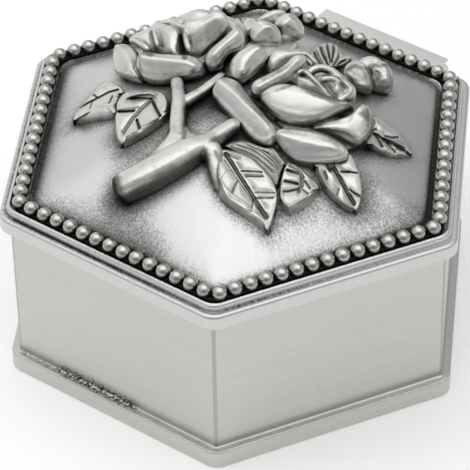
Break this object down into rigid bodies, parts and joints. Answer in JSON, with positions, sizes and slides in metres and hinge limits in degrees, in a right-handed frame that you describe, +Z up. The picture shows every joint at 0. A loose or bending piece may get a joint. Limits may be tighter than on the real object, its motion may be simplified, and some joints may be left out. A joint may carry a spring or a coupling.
{
  "type": "hinged trinket box",
  "caption": "Six-sided metal trinket box with a velvet-lined inside and a hinged domed lid carrying a beaded border and a spray of roses.",
  "frame": {"origin": "centre of the six-sided foot's underside, on the surface that the box stands on", "axes": "+Z up; +X along the box's longer way, corner to corner; +Y to the back, where the hinge is; the front is -Y"},
  "size_m": [0.0768, 0.0745, 0.0455],
  "materials": {
    "brushed_pewter": "straight-brushed pewter-coloured zinc alloy",
    "antique_pewter": "polished relief with dark antique patina in the hollows",
    "dark_pewter": "antique pewter, dark between the beads",
    "hinge_steel": "drawn steel pin",
    "velvet": "dark blue flocked velvet"
  },
  "bodies": {
    "box": {"base_plate": "brushed_pewter", "body_wall": "brushed_pewter", "velvet_wall_card_1": "velvet", "velvet_wall_card_2": "velvet", "velvet_wall_card_3": "velvet", "velvet_wall_card_4": "velvet", "velvet_wall_card_5": "velvet", "velvet_wall_card_6": "velvet", "velvet_floor_cushion": "velvet", "hinge_bracket": "antique_pewter", "hinge_pin": "hinge_steel"},
    "lid": {"lid_cap": "antique_pewter", "bead_border": "dark_pewter", "lid_velvet_pad": "velvet", "lid_hinge_leaf": "antique_pewter", "rose_stem": "antique_pewter", "rose_left": "antique_pewter", "rose_middle": "antique_pewter", "rose_right": "antique_pewter", "rose_bud": "antique_pewter", "leaf_front": "antique_pewter", "leaf_shaded": "antique_pewter", "leaf_small": "antique_pewter", "leaf_right_front": "antique_pewter", "leaf_right_back": "antique_pewter", "leaf_left": "antique_pewter", "leaf_far_left": "antique_pewter", "sepal_back": "antique_pewter", "sepal_middle": "antique_pewter", "sepal_fluted": "antique_pewter"}
  },
  "joints": [
    {"name": "lid_hinge", "type": "hinge", "parent": "box", "child": "lid", "pos_m": [0, 0.0384, 0.0241], "axis": [-1, 0, 0], "range_deg": [0, 105]}
  ]
}
